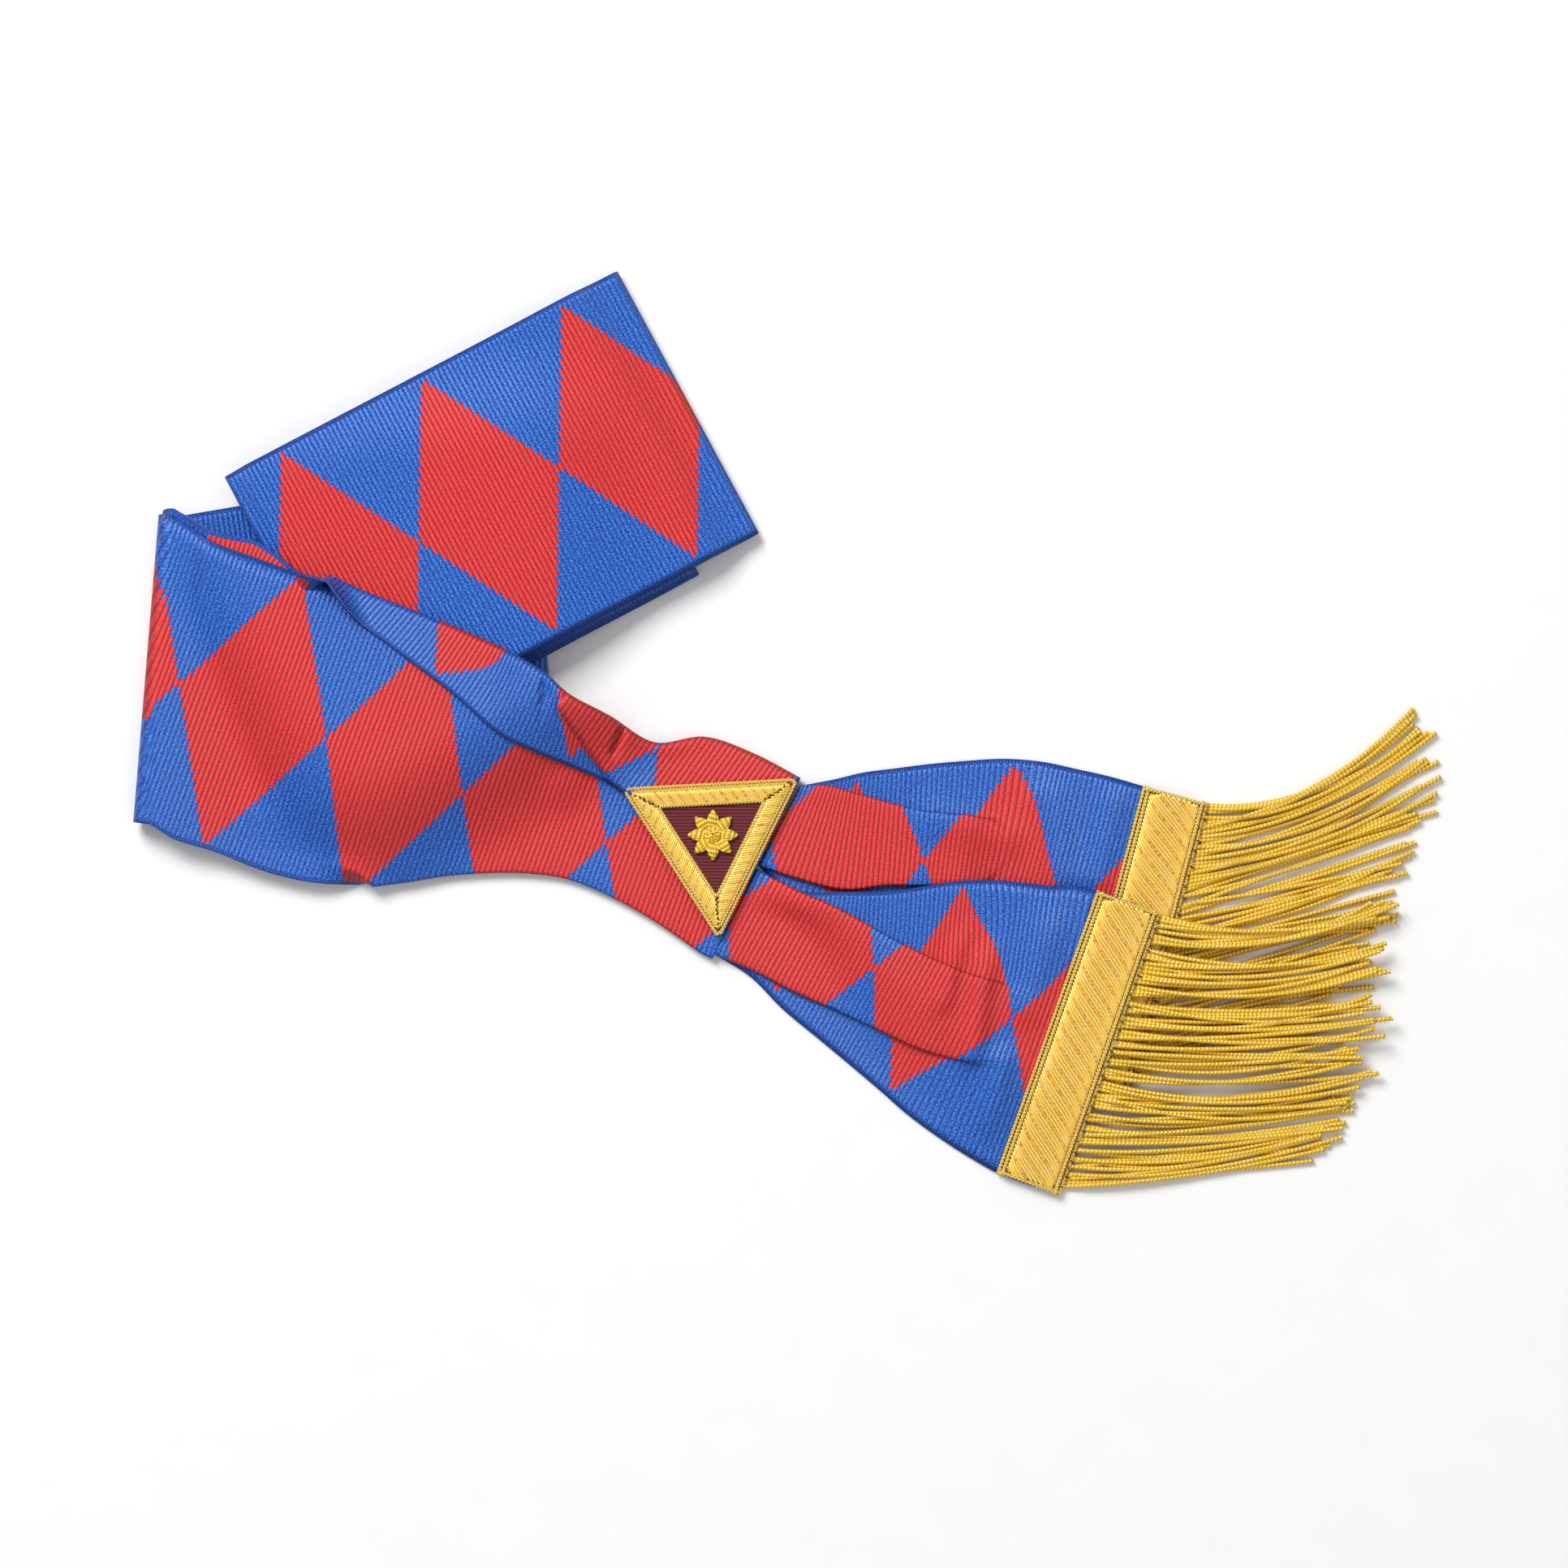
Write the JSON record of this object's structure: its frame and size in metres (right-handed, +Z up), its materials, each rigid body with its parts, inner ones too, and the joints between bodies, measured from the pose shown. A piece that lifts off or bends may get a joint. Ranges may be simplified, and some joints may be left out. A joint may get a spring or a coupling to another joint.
{
  "type": "folded regalia sash",
  "caption": "Wide woven ribbon sash folded into a flat stack, with a three-sided gold-bordered badge over the join and pleated tails that end in gold bands and bullion fringe.",
  "frame": {"origin": "middle of the sash's box, on the table it lies on", "axes": "+Z up from the table, +X from the loop's folded end towards the fringes, +Y towards the stack's upper corner"},
  "size_m": [0.442, 0.3142, 0.0268],
  "materials": {
    "ribbon": "ribbed satin weave with red lozenges on blue",
    "bullion": "gold bullion embroidery",
    "gold_cord": "twisted gold cord",
    "gold_fringe": "gold bullion fringe",
    "field": "dark red ribbed cloth"
  },
  "bodies": {
    "root": {"loop_ribbon": "ribbon", "upper_tail": "ribbon", "lower_tail": "ribbon", "upper_band": "bullion", "lower_band": "bullion", "upper_band_cord": "gold_cord", "lower_band_cord": "gold_cord", "upper_fringe": "gold_fringe", "lower_fringe": "gold_fringe", "badge_field": "field", "badge_border": "bullion", "badge_cord": "gold_cord", "badge_rosette": "bullion"}
  },
  "joints": []
}
